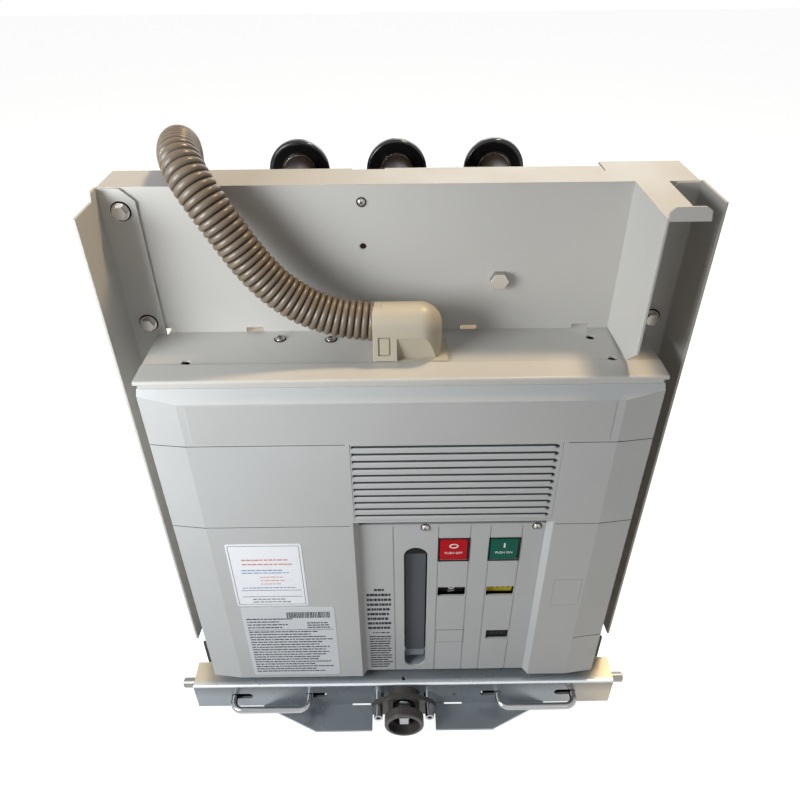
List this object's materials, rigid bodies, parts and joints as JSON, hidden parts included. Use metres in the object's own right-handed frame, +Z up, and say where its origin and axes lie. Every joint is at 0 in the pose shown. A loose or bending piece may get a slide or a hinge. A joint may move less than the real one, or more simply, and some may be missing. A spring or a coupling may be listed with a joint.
{
  "type": "indoor vacuum circuit breaker",
  "caption": "Withdrawable indoor vacuum circuit breaker on a racking truck, with pull handles, tulip contacts behind and a hose for its control wires.",
  "frame": {"origin": "on the floor under the wheels, midway between the sides and between the crank collar's front and the contacts' rear ends", "axes": "+Z up, +Y back towards the tulip contacts, the operating front faces -Y, +X to the right seen from the front"},
  "size_m": [0.54, 0.702, 0.6728],
  "materials": {
    "zinc_sheet": "satin zinc plate",
    "grey_paint": "satin powder coat",
    "cover_plastic": "fine satin",
    "panel_plastic": "fine satin",
    "dark_cast": "dark satin",
    "bright_steel": "bright plated",
    "steel": "ground",
    "black_steel": "black oxide",
    "red_plastic": "gloss",
    "green_plastic": "gloss",
    "black_plastic": "matt",
    "yellow_plastic": "matt",
    "lever_grey": "matt",
    "beige_plastic": "matt",
    "hose_grey": "ribbed, satin",
    "resin": "cast resin",
    "bottle_ceramic": "glazed",
    "copper": "silver-plated copper",
    "sleeve_black": "shrunk sleeve",
    "aluminium": "cast",
    "bronze": "machined",
    "wheel_steel": "turned"
  },
  "bodies": {
    "breaker": {"arm_sleeves": "sleeve_black", "auxiliary_switch": "black_plastic", "button_guides": "black_plastic", "cable_elbow": "beige_plastic", "cam_frame": "zinc_sheet", "charging_motor": "aluminium", "closing_spring": "steel", "contact_arms": "copper", "control_panel": "panel_plastic", "duct_bracket": "grey_paint", "front_cover": "cover_plastic", "hose": "hose_grey", "housing_deck": "grey_paint", "housing_shell": "grey_paint", "indicator_spindle": "black_plastic", "lever_pin": "steel", "operation_counter": "black_plastic", "panel_screws": "bright_steel", "plug": "black_plastic", "poles": "resin", "screw_nut": "bronze", "shaft_bearings": "aluminium", "shield_bolts": "bright_steel", "shield_plate": "grey_paint", "slot_liner": "black_plastic", "solenoid_coils": "black_plastic", "terminals": "copper", "truck_cross_rails": "zinc_sheet", "truck_floor": "zinc_sheet", "truck_rear_member": "zinc_sheet", "truck_side_left": "black_steel", "truck_side_right": "black_steel", "tulip_cages": "black_steel", "tulip_fingers": "copper", "vacuum_interrupters": "bottle_ceramic", "vent_grille": "cover_plastic", "wheel_axles": "steel", "wing_left": "grey_paint", "wing_right": "grey_paint"},
    "crossbeam": {"crossbeam": "zinc_sheet", "lock_guides": "zinc_sheet", "crank_collar": "dark_cast", "collar_screws": "bright_steel"},
    "racking_screw": {"lead_screw": "steel"},
    "lock_left": {"handle_left": "bright_steel", "lock_bar_left": "steel"},
    "lock_right": {"handle_right": "bright_steel", "lock_bar_right": "steel"},
    "wheel_front_left": {"wheel_front_left": "wheel_steel"},
    "wheel_front_right": {"wheel_front_right": "wheel_steel"},
    "wheel_rear_left": {"wheel_rear_left": "wheel_steel"},
    "wheel_rear_right": {"wheel_rear_right": "wheel_steel"},
    "off_button": {"off_button": "red_plastic"},
    "on_button": {"on_button": "green_plastic"},
    "charging_lever": {"charging_lever": "lever_grey"},
    "main_shaft": {"main_shaft": "steel"},
    "moving_contacts": {"drive_rods": "resin"},
    "position_indicator": {"position_indicator": "black_plastic"},
    "charging_shaft": {"cam_shaft": "steel"},
    "spring_indicator": {"spring_indicator": "yellow_plastic"}
  },
  "joints": [
    {"name": "racking_travel", "type": "slide", "parent": "breaker", "child": "crossbeam", "axis": [0, -1, 0], "range_m": [0, 0.2]},
    {"name": "screw_turn", "type": "hinge", "parent": "crossbeam", "child": "racking_screw", "pos_m": [0, -0.311, 0.04], "axis": [0, 1, 0], "range_deg": [0, 7200]},
    {"name": "lock_left_pull", "type": "slide", "parent": "crossbeam", "child": "lock_left", "axis": [1, 0, 0], "range_m": [0, 0.017], "stiffness_N_per_m": 500, "springref_m": -0.01},
    {"name": "lock_right_pull", "type": "slide", "parent": "crossbeam", "child": "lock_right", "axis": [-1, 0, 0], "range_m": [0, 0.017], "stiffness_N_per_m": 500, "springref_m": -0.01},
    {"name": "off_press", "type": "slide", "parent": "breaker", "child": "off_button", "axis": [0, 1, 0], "range_m": [0, 0.006], "stiffness_N_per_m": 300, "springref_m": -0.002},
    {"name": "on_press", "type": "slide", "parent": "breaker", "child": "on_button", "axis": [0, 1, 0], "range_m": [0, 0.006], "stiffness_N_per_m": 300, "springref_m": -0.002},
    {"name": "charging_pull", "type": "hinge", "parent": "breaker", "child": "charging_lever", "pos_m": [0.01365, -0.284, 0.096], "axis": [1, 0, 0], "range_deg": [0, 75], "stiffness_Nm_per_rad": 0.6},
    {"name": "main_shaft_turn", "type": "hinge", "parent": "breaker", "child": "main_shaft", "pos_m": [0, -0.143, 0.15], "axis": [1, 0, 0], "range_deg": [0, 6.7]},
    {"name": "contact_travel", "type": "slide", "parent": "breaker", "child": "moving_contacts", "axis": [0, 0, 1], "range_m": [0, 0.011]},
    {"name": "position_turn", "type": "hinge", "parent": "breaker", "child": "position_indicator", "pos_m": [0.0524, -0.267, 0.2157], "axis": [1, 0, 0], "range_deg": [0, 41]},
    {"name": "charging_shaft_turn", "type": "hinge", "parent": "breaker", "child": "charging_shaft", "pos_m": [0, -0.193, 0.3], "axis": [1, 0, 0], "range_deg": [0, 180]},
    {"name": "spring_indicator_turn", "type": "hinge", "parent": "breaker", "child": "spring_indicator", "pos_m": [0.1047, -0.267, 0.2157], "axis": [1, 0, 0], "range_deg": [0, 42]},
    {"name": "wheel_front_left_roll", "type": "hinge", "parent": "breaker", "child": "wheel_front_left", "pos_m": [-0.2415, -0.206, 0.021], "axis": [1, 0, 0], "continuous": true},
    {"name": "wheel_rear_left_roll", "type": "hinge", "parent": "breaker", "child": "wheel_rear_left", "pos_m": [-0.2415, 0.144, 0.021], "axis": [1, 0, 0], "continuous": true},
    {"name": "wheel_front_right_roll", "type": "hinge", "parent": "breaker", "child": "wheel_front_right", "pos_m": [0.2415, -0.206, 0.021], "axis": [1, 0, 0], "continuous": true},
    {"name": "wheel_rear_right_roll", "type": "hinge", "parent": "breaker", "child": "wheel_rear_right", "pos_m": [0.2415, 0.144, 0.021], "axis": [1, 0, 0], "continuous": true}
  ],
  "couplings": [
    {"joint": "screw_turn", "follows": "racking_travel", "rad_per_m": 628.32},
    {"joint": "contact_travel", "follows": "main_shaft_turn", "m_per_rad": 0.093991},
    {"joint": "position_turn", "follows": "main_shaft_turn", "ratio": 5.9659},
    {"joint": "spring_indicator_turn", "follows": "charging_shaft_turn", "ratio": 0.22222}
  ]
}
